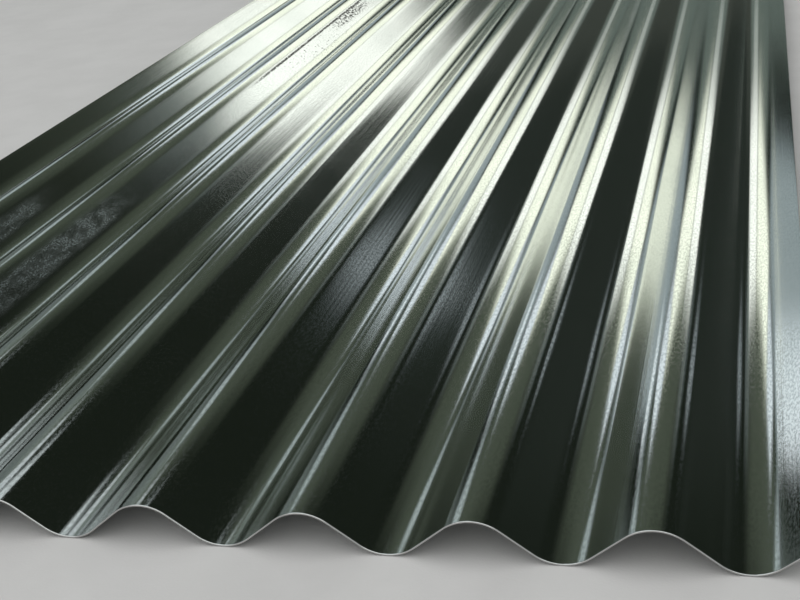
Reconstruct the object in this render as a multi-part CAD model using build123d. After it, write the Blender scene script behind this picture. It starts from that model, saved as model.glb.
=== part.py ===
from build123d import *

import os
from math import ceil, cos, radians, sin, tan

# One corrugated sheet of galvanised steel, rolled from a flat strip and cut to length.
# X runs across the waves, Y along them, and Z is up. The origin is the middle of the sheet on the
# level that its valleys rest on. Sizes are in millimetres.

# Driving dimensions
PITCH = 76.2  # crest to crest, 3 inches
DEPTH = 19.05  # valley to crest on the sheet's middle line, 3/4 inch
FLANK_SLOPE = 38.0  # degrees, of the straight flank between a valley bend and a crest bend
THICKNESS = 0.8  # steel with its zinc coat
STRIP_WIDTH = 762.0  # flat width of the strip before rolling, 30 inches
LENGTH = 1800.0  # cut length along the waves

# The wave: equal circular bends at valleys and crests, joined by straight flanks tangent to both.
# Distances along the strip are counted from the middle valley, which is bend 0. Odd bends are crests.
FLANK_TURN = radians(FLANK_SLOPE)
BEND_RADIUS = (PITCH / 2 * tan(FLANK_TURN) - DEPTH) / (2 / cos(FLANK_TURN) - 2)
HALF_BEND = BEND_RADIUS * FLANK_TURN
FLANK = (PITCH / 2 - 2 * BEND_RADIUS * sin(FLANK_TURN)) / cos(FLANK_TURN)
HALF_WAVE = 2 * HALF_BEND + FLANK


def middle_line(distance):
    """X, Z and slope of the sheet's middle line, at a distance along the strip."""
    bend = round(distance / HALF_WAVE)
    past_bend = distance - bend * HALF_WAVE
    turn = max(-FLANK_TURN, min(FLANK_TURN, past_bend / BEND_RADIUS))
    straight = past_bend - turn * BEND_RADIUS
    x = bend * PITCH / 2 + BEND_RADIUS * sin(turn) + straight * cos(turn)
    away = BEND_RADIUS * (1 - cos(turn)) + straight * sin(turn)
    is_valley = bend % 2 == 0
    if is_valley:
        return x, THICKNESS / 2 + away, turn
    return x, THICKNESS / 2 + DEPTH - away, -turn


def surface_point(distance, side):
    """Point of the upper (side 1) or lower (side -1) surface at the front end of the sheet."""
    x, z, slope = middle_line(distance)
    reach = side * THICKNESS / 2
    return Vector(x - reach * sin(slope), -LENGTH / 2, z + reach * cos(slope))


def stretches():
    """Start and end of each arc and flank from the left cut edge to the right, and if it is straight.

    A bend is two arcs that meet on its valley or crest line.
    """
    half_strip = STRIP_WIDTH / 2
    last_bend = ceil(half_strip / HALF_WAVE)
    for bend in range(-last_bend, last_bend + 1):
        line = bend * HALF_WAVE
        flank_start = line + HALF_BEND
        for start, end, is_straight in (
            (line - HALF_BEND, line, False),
            (line, flank_start, False),
            (flank_start, flank_start + FLANK, True),
        ):
            kept_start, kept_end = max(start, -half_strip), min(end, half_strip)
            if kept_start < kept_end:
                yield kept_start, kept_end, is_straight


def surface_edges(side):
    """Arcs and lines of one surface, from the left edge of the sheet to the right one."""
    edges = []
    for start, end, is_straight in stretches():
        first, middle, last = (surface_point(at, side) for at in (start, (start + end) / 2, end))
        edges.append(Line(first, last) if is_straight else ThreePointArc(first, middle, last))
    return edges


def corrugated_sheet():
    """The wave section with its square cut edges, drawn out over the sheet's length.

    It isn't cleaned, so that each crest and valley line stays an edge.
    """
    upper, lower = surface_edges(1), surface_edges(-1)
    left_cut = Line(upper[0] @ 0, lower[0] @ 0)
    right_cut = Line(upper[-1] @ 1, lower[-1] @ 1)
    section = make_face([*upper, right_cut, *lower, left_cut])
    return extrude(section, amount=LENGTH, dir=(0, 1, 0), clean=False)


os.makedirs("parts", exist_ok=True)
sheet = corrugated_sheet()
export_step(sheet, "parts/corrugated_sheet.step")
size = sheet.bounding_box().size
print(f"bend radius {BEND_RADIUS:.2f}, flank {FLANK:.2f}, strip per pitch {2 * HALF_WAVE:.2f}")
print(f"overall {size.X:.1f} x {size.Y:.1f} x {size.Z:.2f} mm, volume {sheet.volume / 1000:.1f} cm3")
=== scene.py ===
from math import ceil, cos, pi, radians, sin, tan

import bpy
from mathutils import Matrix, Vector, noise


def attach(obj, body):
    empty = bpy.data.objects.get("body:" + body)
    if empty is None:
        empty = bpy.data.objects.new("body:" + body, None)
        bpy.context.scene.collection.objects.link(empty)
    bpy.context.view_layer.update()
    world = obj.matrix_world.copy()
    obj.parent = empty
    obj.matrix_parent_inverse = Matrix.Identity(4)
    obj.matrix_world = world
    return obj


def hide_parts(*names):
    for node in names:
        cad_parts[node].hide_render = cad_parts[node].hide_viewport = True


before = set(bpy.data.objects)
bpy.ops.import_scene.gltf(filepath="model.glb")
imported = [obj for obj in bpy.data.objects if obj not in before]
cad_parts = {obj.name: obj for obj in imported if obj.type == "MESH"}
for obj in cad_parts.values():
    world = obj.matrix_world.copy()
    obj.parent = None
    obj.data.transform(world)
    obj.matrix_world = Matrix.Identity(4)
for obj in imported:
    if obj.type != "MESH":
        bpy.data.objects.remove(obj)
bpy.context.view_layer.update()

# A corrugated sheet of bright galvanised steel, lying on a pale floor. X runs across the waves, Y along
# them and Z is up, in metres. The front end, nearest the camera, is at -Y.

# Section of the sheet, the same values as in the part's source
PITCH = 0.0762
DEPTH = 0.01905
FLANK_TURN = radians(38.0)
THICKNESS = 0.0008
STRIP_WIDTH = 0.762
LENGTH = 1.8
BEND_RADIUS = (PITCH / 2 * tan(FLANK_TURN) - DEPTH) / (2 / cos(FLANK_TURN) - 2)
HALF_BEND = BEND_RADIUS * FLANK_TURN
FLANK = (PITCH / 2 - 2 * BEND_RADIUS * sin(FLANK_TURN)) / cos(FLANK_TURN)
HALF_WAVE = 2 * HALF_BEND + FLANK

# Mesh density
ARC_STEPS = 10  # from a valley or crest line to the flank
FLANK_STEPS = 7
ROW_STEP = 0.021  # between rows along the waves
END_ROWS = (0.0, 0.0002, 0.0006, 0.0014, 0.003, 0.007)  # finer rows at each cut end
LEAST_GAP = 1e-6  # lines of points nearer than this are one

# Long soft dents that rolling and handling leave in the flanks
DENT_HEIGHT = 0.00016
DENT_LENGTH = 0.23
DENTS_ACROSS = 0.9  # for each half wave
DENT_START = (31.0, 7.0)  # where in the noise they start

# How far crests and valleys stray from true
EASE_HEIGHT = 0.00007
EASE_LENGTH = 0.4
EASES_ACROSS = 1.1
EASE_START = 19.0
RELIEF_FADE = 0.02  # dents and easing fade out this near the side edges

# Cut edges, and the ragged lip along each cut end
EDGE_BREAK = 0.00012  # rounding of the corners
EDGE_BREAK_REACH = 0.0002
BURR_HEIGHT = 0.00022
BURR_REACH = 0.001
BURR_FINENESS = 420  # spots of noise for each metre along the cut
BURR_START = 3.0
BURR_ABOVE = 0.35  # the noise has to be above this for the lip to show
BURR_TOP = 0.7 * DEPTH  # no lip higher up than this, so that the sheet keeps its height

# Zinc coat
ZINC = (0.62, 0.64, 0.63, 1)
ZINC_DULL = (0.53, 0.56, 0.55, 1)
ZINC_DARK = (0.42, 0.44, 0.43, 1)  # the duller grains
BLOOM = (0.46, 0.60, 0.66, 1)  # the first pale bloom on zinc
DIRT = (0.040, 0.034, 0.027, 1)
CUT_STEEL = (0.46, 0.46, 0.45, 1)
BLOOM_TINT = 0.6  # share of its colour that the bloom gives
DIRT_COVER = 0.9
POLISH = 0.05  # roughness where the coat is clean
BLOOM_ROUGHNESS = 0.30
DIRT_ROUGHNESS = 0.7
CUT_ROUGHNESS = 0.38
BLOOM_DULLING = 0.10  # how much less metallic the bloom is
DIRT_METALLIC = 0.1

# Noises in the coat. Each is its scale, which is spots for each metre, its detail and its roughness.
SPANGLE = (950.0, 3.0, 0.65)
GRAIN = (2600.0, 1.0, 0.5)
CLOUDS = (9.0, 3.0, 0.55)
ROLL_LINES = (1.0, 4.0, 0.6)  # its spots for each metre are given below, across and along
BLOOM_SPECKLE = (1300.0, 2.0, 0.7)
BLOOM_CLUMPS = (110.0, 4.0, 0.65)
DIRT_SPOTS = (460.0, 4.0, 0.65)
GRAINS_DRAWN_OUT = 0.35  # share of Y that the grains follow, so that they lie along the rolling
ROLL_LINES_ACROSS = 420.0
ROLL_LINES_ALONG = 0.12

# What the noises do. Each is the noise from and to, and the result from and to.
CLOUDS_TO_DULL = (0.35, 0.75, 0.0, 0.6)
CLOUDS_TO_ROUGHNESS = (0.3, 0.8, POLISH, POLISH + 0.03)
SPANGLE_TO_DARK = (0.40, 0.62, 0.0, 0.45)
SPANGLE_TO_ROUGHNESS = (0.40, 0.62, 0.0, 0.08)
SPECKLE_TO_BLOOM = (0.38, 0.64, 0.30, 1.0)
CLUMPS_TO_BLOOM = (0.34, 0.62, 0.35, 1.0)

# Shading relief of the coat
RELIEF_STRENGTH = 0.5
ROLL_LINE_DEPTH = 0.00008
SPANGLE_DEPTH = 0.00003
GRAIN_DEPTH = 0.000015

# A band is where it starts and ends, and how wide its soft edges are.

# Bloom, in two patches of the left-hand waves. Each is its band on the strip and its band of Y.
BLOOM_PATCHES = (
    ((-0.2085, -0.1890, 0.007), (-0.68, -0.47, 0.10)),
    ((-0.2905, -0.2750, 0.006), (-0.56, -0.46, 0.08)),
)

# Dirt that has dried along one flank. Each mark is its band on the strip, its band of Y, and the noise of
# the spots from where it starts to show to where it is full.
DIRT_MARKS = {
    "dense_patch": ((-0.2050, -0.1930, 0.008), (0.13, 0.25, 0.09), (0.42, 0.62)),
    "loose_specks": ((-0.2020, -0.1800, 0.008), (-0.05, 0.16, 0.10), (0.57, 0.72)),
    "thin_line": ((-0.2056, -0.2034, 0.0016), (-0.12, 0.28, 0.12), (0.28, 0.56)),
}

# Floor
FLOOR_HALF = 40.0  # half of its side
FLOOR_PALE = (0.64, 0.64, 0.63, 1)
FLOOR_DARKER = (0.60, 0.60, 0.59, 1)
FLOOR_ROUGHNESS = 0.8
FLOOR_MOTTLE = (14.0, 5.0, 0.6)
MOTTLE_TO_PALE = (0.3, 0.7)
FLOOR_GRAIN = (700.0, 3.0, 0.5)
FLOOR_GRAIN_DEPTH = 0.0004
FLOOR_GRAIN_STRENGTH = 0.2

# The studio's light. Its far end is dim, with a row of soft windows and a few dim glows. A glow's place is
# given as seen on a wall one metre ahead: its band across, to the right, and its band up, above the level
# of the sheet. Then come its colour and strength.
GLOWS = {
    "lower_wall": ((-0.24, 0.13, 0.06), (-0.30, 0.26, 0.08), (0.80, 1.00, 0.90), 0.15),
    "sill": ((-0.02, 0.07, 0.04), (0.21, 0.27, 0.04), (0.95, 1.00, 0.94), 0.32),
    "low_left": ((-0.56, -0.31, 0.05), (-0.40, 0.25, 0.10), (0.83, 0.98, 1.02), 0.44),
    "low_white": ((-0.58, -0.45, 0.04), (0.13, 0.21, 0.04), (0.94, 0.99, 1.04), 0.75),
    "right_corner": ((0.10, 0.21, 0.03), (0.04, 0.25, 0.06), (0.95, 1.00, 0.86), 0.035),
    "low_right": ((0.10, 0.60, 0.20), (-0.40, 0.40, 0.30), (0.84, 1.00, 0.96), 0.016),
    "upper_wall": ((-0.80, 0.11, 0.26), (0.30, 0.72, 0.26), (0.84, 1.00, 0.74), 0.085),
    "window_haze": ((0.12, 0.20, 0.06), (0.40, 0.56, 0.10), (0.88, 1.02, 1.04), 0.15),
    "far_left": ((-0.68, -0.56, 0.05), (0.26, 0.48, 0.10), (0.86, 0.99, 1.04), 0.48),
    "far_right": ((0.30, 0.38, 0.04), (0.34, 0.44, 0.05), (0.88, 0.98, 1.04), 0.35),
    "left_side": ((-1.60, -0.70, 0.14), (0.00, 0.60, 0.14), (0.86, 1.00, 0.98), 0.18),
    "upper_corner": ((-1.00, -0.56, 0.06), (0.62, 1.20, 0.06), (0.92, 0.99, 1.04), 0.70),
    "high_left": ((-0.56, -0.22, 0.08), (0.86, 1.30, 0.06), (0.92, 1.00, 1.02), 0.85),
}
DIM = (0.0130, 0.0175, 0.0122)
STUDIO = (0.62, 0.62, 0.62)
DIM_WITHIN = 52.0  # degrees from straight ahead
STUDIO_BEYOND = 72.0
LEAST_AHEAD = 0.05  # keeps places on the wall finite to the sides and behind

# Each window is its Y, its band of X, its band of Z, its colour and strength.
WINDOWS = {
    "right_window": (6.0, (0.06, 1.15, 0.22), (1.75, 3.00, 0.50), (0.98, 1.00, 0.93), 1.55),
    "middle_window": (6.0, (-1.75, 0.00, 0.22), (1.72, 2.90, 0.50), (0.97, 1.00, 0.85), 1.5),
    "left_window": (4.5, (-2.05, -1.35, 0.20), (1.50, 2.30, 0.30), (0.89, 0.97, 1.05), 1.1),
}
SOFTBOX_PLACE = (-0.3, -0.9, 2.4)
SOFTBOX_AIM = (0, 0, 0)
SOFTBOX_SIZE = 4.8  # large, so that its image in the zinc doesn't clip to white
SOFTBOX_POWER = 38

# Camera, fitted to the photo
CAMERA_PLACE = (0.30682, -1.35722, 0.32848)
CAMERA_TURN = (66.426, 5.929, 13.947)  # degrees
CAMERA_LENS = 59.585  # millimetres, like the sensor's width
SENSOR_WIDTH = 36.0


def middle_line(distance):
    """X, Z and slope of the sheet's middle line, at a distance along the strip."""
    bend = round(distance / HALF_WAVE)
    past_bend = distance - bend * HALF_WAVE
    turn = max(-FLANK_TURN, min(FLANK_TURN, past_bend / BEND_RADIUS))
    straight = past_bend - turn * BEND_RADIUS
    x = bend * PITCH / 2 + BEND_RADIUS * sin(turn) + straight * cos(turn)
    away = BEND_RADIUS * (1 - cos(turn)) + straight * sin(turn)
    is_valley = bend % 2 == 0
    if is_valley:
        return x, THICKNESS / 2 + away, turn
    return x, THICKNESS / 2 + DEPTH - away, -turn


def strip_stations():
    """Distances along the strip where the mesh has a line of points, from the left edge to the right."""
    half_strip = STRIP_WIDTH / 2
    last_bend = ceil(half_strip / HALF_WAVE)
    stations = {-half_strip, half_strip}
    for bend in range(-last_bend, last_bend + 1):
        line = bend * HALF_WAVE
        for step in range(-ARC_STEPS, ARC_STEPS + 1):
            stations.add(line + HALF_BEND * step / ARC_STEPS)
        for step in range(1, FLANK_STEPS):
            stations.add(line + HALF_BEND + FLANK * step / FLANK_STEPS)
    inside = sorted(at for at in stations if -half_strip <= at <= half_strip)
    return [at for i, at in enumerate(inside) if i == 0 or at - inside[i - 1] > LEAST_GAP]


def row_places():
    """Y of each row of points, from the front end to the rear."""
    half = LENGTH / 2
    count = ceil((LENGTH - 2 * END_ROWS[-1]) / ROW_STEP)
    first = -half + END_ROWS[-1]
    step = (LENGTH - 2 * END_ROWS[-1]) / count
    front = [-half + inset for inset in END_ROWS]
    middle = [first + step * i for i in range(1, count)]
    return front + middle + [-y for y in reversed(front)]


def strayed(distance, y):
    """How far the sheet's middle surface strays from true along its normal."""
    wave = distance / HALF_WAVE
    near_edge = min(1.0, (STRIP_WIDTH / 2 - abs(distance)) / RELIEF_FADE)
    on_flank = sin(pi * wave) ** 2
    dent = noise.noise(Vector((wave * DENTS_ACROSS + DENT_START[0], y / DENT_LENGTH, DENT_START[1])))
    ease = 0.5 + 0.5 * noise.noise(Vector((wave * EASES_ACROSS, y / EASE_LENGTH, EASE_START)))
    return near_edge * (DENT_HEIGHT * on_flank * dent + EASE_HEIGHT * cos(pi * wave) * ease)


def burr(distance, inset):
    """Height of the ragged lip that shearing leaves along a cut end."""
    if inset > BURR_REACH:
        return 0.0
    ragged = noise.noise(Vector((distance * BURR_FINENESS, BURR_START, 0.0)))
    return BURR_HEIGHT * max(0.0, ragged - BURR_ABOVE) * (1 - inset / BURR_REACH)


def surface_points(side, stations, rows):
    """Points of the upper surface, side 1, or of the lower one, side -1, row by row."""
    points = []
    for y in rows:
        inset = LENGTH / 2 - abs(y)
        rounding = EDGE_BREAK * max(0.0, 1 - inset / EDGE_BREAK_REACH)
        for distance in stations:
            x, z, slope = middle_line(distance)
            offset = side * (THICKNESS / 2 - rounding) + strayed(distance, y)
            if side == 1 and z < BURR_TOP:
                offset += burr(distance, inset)
            points.append((x - offset * sin(slope), y, z + offset * cos(slope)))
    return points


def surface_faces(across, along):
    """Faces of both surfaces, for that many points across and along."""
    lower = across * along
    faces = []
    for row in range(along - 1):
        for column in range(across - 1):
            corner = row * across + column
            upper_face = (corner, corner + 1, corner + across + 1, corner + across)
            faces.append(upper_face)
            faces.append(tuple(lower + index for index in reversed(upper_face)))
    return faces


def cut_faces(across, along):
    """Faces of the cut ends and of the side edges, which close the sheet."""
    lower = across * along
    faces = []
    for column in range(across - 1):
        front, rear = column, (along - 1) * across + column
        faces.append((lower + front, lower + front + 1, front + 1, front))
        faces.append((rear, rear + 1, lower + rear + 1, lower + rear))
    for row in range(along - 1):
        left, right = row * across, row * across + across - 1
        faces.append((left, left + across, lower + left + across, lower + left))
        faces.append((lower + right, lower + right + across, right + across, right))
    return faces


def mark_cut_edges_sharp(mesh, first_cut_face):
    """The cut edges shade as flat faces, apart from the smooth surfaces."""
    sharp = set()
    for face in mesh.polygons[first_cut_face:]:
        sharp.update(face.edge_keys)
    for edge in mesh.edges:
        if edge.key in sharp:
            edge.use_edge_sharp = True


def sheet_mesh():
    """Closed mesh of the sheet, which knows each point's place on the strip and which faces are cut."""
    stations = strip_stations()
    rows = row_places()
    points = surface_points(1, stations, rows) + surface_points(-1, stations, rows)
    smooth = surface_faces(len(stations), len(rows))
    cut = cut_faces(len(stations), len(rows))

    mesh = bpy.data.meshes.new("corrugated_sheet_surface")
    mesh.from_pydata(points, [], smooth + cut)
    strip = stations * (2 * len(rows))
    is_cut = [0.0] * len(smooth) + [1.0] * len(cut)
    mesh.attributes.new("strip", "FLOAT", "POINT").data.foreach_set("value", strip)
    mesh.attributes.new("cut", "FLOAT", "FACE").data.foreach_set("value", is_cut)
    mesh.polygons.foreach_set("use_smooth", [True] * len(is_cut))
    mark_cut_edges_sharp(mesh, len(smooth))
    return mesh


class Nodes:
    """Adds shader nodes to one tree. An input is a value, or the output of another node."""

    def __init__(self, tree):
        self.tree = tree
        tree.nodes.clear()

    def add(self, kind, output=0, values=None, **settings):
        node = self.tree.nodes.new(kind)
        for name, value in settings.items():
            setattr(node, name, value)
        for name, value in (values or {}).items():
            if isinstance(value, bpy.types.NodeSocket):
                self.tree.links.new(value, node.inputs[name])
            else:
                node.inputs[name].default_value = value
        return node.outputs[output]

    def math(self, operation, first, second=0.0):
        return self.add("ShaderNodeMath", values={0: first, 1: second}, operation=operation)

    def joined(self, operation, shares):
        """The shares joined by one operation, from first to last."""
        result = shares[0]
        for share in shares[1:]:
            result = self.math(operation, result, share)
        return result

    def product(self, *factors):
        return self.joined("MULTIPLY", factors)

    def highest(self, *shares):
        return self.joined("MAXIMUM", shares)

    def between(self, value, start, end, low=0.0, high=1.0):
        """Goes smoothly from low to high as the value goes from start to end, and stays there outside."""
        values = {"Value": value, "From Min": start, "From Max": end, "To Min": low, "To Max": high}
        return self.add("ShaderNodeMapRange", values=values, interpolation_type="SMOOTHSTEP", clamp=True)

    def band(self, value, start, end, soft):
        """1 between start and end, and 0 outside, with soft edges that wide."""
        rise = self.between(value, start - soft / 2, start + soft / 2)
        fall = self.between(value, end - soft / 2, end + soft / 2, 1.0, 0.0)
        return self.product(rise, fall)

    def patch(self, first, second, first_band, second_band):
        """1 where both values are in their bands, and 0 outside."""
        return self.product(self.band(first, *first_band), self.band(second, *second_band))

    def mix(self, share, first, second):
        """One colour over another. Inputs 6 and 7 and output 2 are the node's colour ones."""
        values = {"Factor": share, 6: first, 7: second}
        return self.add("ShaderNodeMix", output=2, values=values, data_type="RGBA")

    def noise(self, place, scale, detail, roughness):
        values = {"Vector": place, "Scale": scale, "Detail": detail, "Roughness": roughness}
        return self.add("ShaderNodeTexNoise", values=values)

    def bump(self, height, strength, depth, base=None):
        """Shading relief of that depth in metres, on its own or on top of other relief."""
        values = {"Height": height, "Strength": strength, "Distance": depth}
        if base is not None:
            values["Normal"] = base
        return self.add("ShaderNodeBump", values=values)

    def point(self, x, y):
        return self.add("ShaderNodeCombineXYZ", values={"X": x, "Y": y})

    def split(self, place):
        """X, Y and Z of a place or direction."""
        node = self.tree.nodes.new("ShaderNodeSeparateXYZ")
        self.tree.links.new(place, node.inputs["Vector"])
        return [node.outputs[name] for name in "XYZ"]

    def scaled(self, vector, factor):
        return self.add("ShaderNodeVectorMath", operation="SCALE", values={0: vector, "Scale": factor})

    def sum(self, first, second):
        return self.add("ShaderNodeVectorMath", operation="ADD", values={0: first, 1: second})

    def surface(self, kind, shader):
        """The tree's output node."""
        out = self.tree.nodes.new(kind)
        self.tree.links.new(shader, out.inputs["Surface"])


def node_material(name):
    """A new material, and the nodes to make it with."""
    material = bpy.data.materials.new(name)
    material.use_nodes = True
    return material, Nodes(material.node_tree)


def added(name, data):
    """A new object in the scene."""
    item = bpy.data.objects.new(name, data)
    bpy.context.scene.collection.objects.link(item)
    return item


def bloom_share(n, strip, y, rolled):
    """How far the zinc has bloomed: a fine speckle, in patches with ragged edges."""
    speckle = n.between(n.noise(rolled, *BLOOM_SPECKLE), *SPECKLE_TO_BLOOM)
    ragged = n.between(n.noise(rolled, *BLOOM_CLUMPS), *CLUMPS_TO_BLOOM)
    patches = [n.patch(strip, y, *bands) for bands in BLOOM_PATCHES]
    return n.product(n.highest(*patches), ragged, speckle)


def dirt_share(n, strip, y, rolled):
    """How far dirt covers the zinc, in specks."""
    spots = n.noise(rolled, *DIRT_SPOTS)
    marks = []
    for strip_band, y_band, spots_shown in DIRT_MARKS.values():
        place = n.patch(strip, y, strip_band, y_band)
        marks.append(n.product(place, n.between(spots, *spots_shown)))
    return n.highest(*marks)


def galvanised_steel():
    """Bright hot-dip zinc with a very fine spangle, roll lines, a little bloom and a streak of dirt."""
    material, n = node_material("galvanised_steel")
    place = n.add("ShaderNodeTexCoord", output="Object")
    strip = n.add("ShaderNodeAttribute", output="Fac", attribute_name="strip")
    cut = n.add("ShaderNodeAttribute", output="Fac", attribute_name="cut")
    y = n.split(place)[1]

    rolled = n.point(strip, n.product(y, GRAINS_DRAWN_OUT))
    spangle = n.noise(rolled, *SPANGLE)
    grain = n.noise(rolled, *GRAIN)
    clouds = n.noise(place, *CLOUDS)
    drawn = n.point(n.product(strip, ROLL_LINES_ACROSS), n.product(y, ROLL_LINES_ALONG))
    roll_lines = n.noise(drawn, *ROLL_LINES)
    bloom = bloom_share(n, strip, y, rolled)
    dirt = dirt_share(n, strip, y, rolled)

    colour = n.mix(n.between(clouds, *CLOUDS_TO_DULL), ZINC, ZINC_DULL)
    colour = n.mix(n.between(spangle, *SPANGLE_TO_DARK), colour, ZINC_DARK)
    colour = n.mix(n.product(bloom, BLOOM_TINT), colour, BLOOM)
    colour = n.mix(n.product(dirt, DIRT_COVER), colour, DIRT)
    colour = n.mix(cut, colour, CUT_STEEL)

    roughness = n.between(clouds, *CLOUDS_TO_ROUGHNESS)
    roughness = n.math("ADD", roughness, n.between(spangle, *SPANGLE_TO_ROUGHNESS))
    roughness = n.between(bloom, 0.0, 1.0, roughness, BLOOM_ROUGHNESS)
    roughness = n.highest(roughness, n.product(dirt, DIRT_ROUGHNESS))
    roughness = n.highest(roughness, n.product(cut, CUT_ROUGHNESS))

    metallic = n.math("SUBTRACT", 1.0, n.product(bloom, BLOOM_DULLING))
    metallic = n.math("MINIMUM", metallic, n.between(dirt, 0.0, 1.0, 1.0, DIRT_METALLIC))

    relief = n.bump(roll_lines, RELIEF_STRENGTH, ROLL_LINE_DEPTH)
    relief = n.bump(spangle, RELIEF_STRENGTH, SPANGLE_DEPTH, relief)
    relief = n.bump(grain, RELIEF_STRENGTH, GRAIN_DEPTH, relief)

    values = {"Base Color": colour, "Metallic": metallic, "Roughness": roughness, "Normal": relief}
    shader = n.add("ShaderNodeBsdfPrincipled", values=values)
    n.surface("ShaderNodeOutputMaterial", shader)
    return material


def pale_floor():
    """A large plain floor of matt, very slightly mottled pale grey."""
    half = FLOOR_HALF
    mesh = bpy.data.meshes.new("floor")
    points = [(-half, -half, 0), (half, -half, 0), (half, half, 0), (-half, half, 0)]
    mesh.from_pydata(points, [], [(0, 1, 2, 3)])
    material, n = node_material("pale_floor")
    place = n.add("ShaderNodeTexCoord", output="Object")
    mottle = n.noise(place, *FLOOR_MOTTLE)
    colour = n.mix(n.between(mottle, *MOTTLE_TO_PALE), FLOOR_DARKER, FLOOR_PALE)
    relief = n.bump(n.noise(place, *FLOOR_GRAIN), FLOOR_GRAIN_STRENGTH, FLOOR_GRAIN_DEPTH)
    values = {"Base Color": colour, "Roughness": FLOOR_ROUGHNESS, "Normal": relief}
    shader = n.add("ShaderNodeBsdfPrincipled", values=values)
    n.surface("ShaderNodeOutputMaterial", shader)
    mesh.materials.append(material)
    floor = added("floor", mesh)


def studio_world():
    """Soft light all round, except towards the far end, which is dim."""
    world = bpy.data.worlds.new("studio")
    bpy.context.scene.world = world
    world.use_nodes = True
    n = Nodes(world.node_tree)
    x, y, z = n.split(n.add("ShaderNodeTexCoord", output="Generated"))
    ahead = n.math("MAXIMUM", y, LEAST_AHEAD)
    across = n.math("DIVIDE", x, ahead)
    up = n.math("DIVIDE", z, ahead)
    colour = DIM
    for across_band, up_band, tint, strength in GLOWS.values():
        share = n.patch(across, up, across_band, up_band)
        colour = n.sum(colour, n.scaled(tint, n.product(share, strength)))
    off = n.math("DEGREES", n.math("ARCCOSINE", y))
    colour = n.mix(n.between(off, DIM_WITHIN, STUDIO_BEYOND), colour, (*STUDIO, 1))
    background = n.add("ShaderNodeBackground", values={"Color": colour})
    n.surface("ShaderNodeOutputWorld", background)


def reach(band):
    """Where a band begins and ends, with its soft edges."""
    start, end, soft = band
    return start - soft / 2, end + soft / 2


def soft_window(name, ahead, x_band, z_band, tint, strength):
    """An upright panel of light with soft edges, which adds to what is behind it."""
    left, right = reach(x_band)
    low, high = reach(z_band)
    mesh = bpy.data.meshes.new(name)
    points = [(left, ahead, low), (right, ahead, low), (right, ahead, high), (left, ahead, high)]
    mesh.from_pydata(points, [], [(0, 1, 2, 3)])
    material, n = node_material(name)
    x, _, z = n.split(n.add("ShaderNodeTexCoord", output="Object"))
    glow = n.product(n.patch(x, z, x_band, z_band), strength)
    light = n.add("ShaderNodeEmission", values={"Color": (*tint, 1), "Strength": glow})
    clear = n.add("ShaderNodeBsdfTransparent")
    n.surface("ShaderNodeOutputMaterial", n.add("ShaderNodeAddShader", values={0: light, 1: clear}))
    mesh.materials.append(material)
    panel = added(name, mesh)
    panel.visible_camera = False


def softbox():
    """A square area lamp overhead."""
    lamp = bpy.data.lights.new("overhead_softbox", "AREA")
    lamp.shape = "SQUARE"
    lamp.size = SOFTBOX_SIZE
    lamp.energy = SOFTBOX_POWER
    holder = added("overhead_softbox", lamp)
    holder.location = SOFTBOX_PLACE
    towards = Vector(SOFTBOX_AIM) - Vector(SOFTBOX_PLACE)
    holder.rotation_euler = towards.to_track_quat("-Z", "Y").to_euler()
    holder.visible_camera = False


def camera():
    """The camera, which sees the sheet as the photo does."""
    data = bpy.data.cameras.new("camera")
    data.lens = CAMERA_LENS
    data.sensor_width = SENSOR_WIDTH
    holder = added("camera", data)
    holder.location = CAMERA_PLACE
    holder.rotation_euler = [radians(angle) for angle in CAMERA_TURN]
    bpy.context.scene.camera = holder


mesh = sheet_mesh()
mesh.materials.append(galvanised_steel())
sheet = added("steel_sheet", mesh)
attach(sheet, "root")
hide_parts("corrugated_sheet")

pale_floor()
studio_world()
for name, values in WINDOWS.items():
    soft_window(name, *values)
softbox()
camera()
bpy.context.scene.view_settings.view_transform = "Standard"
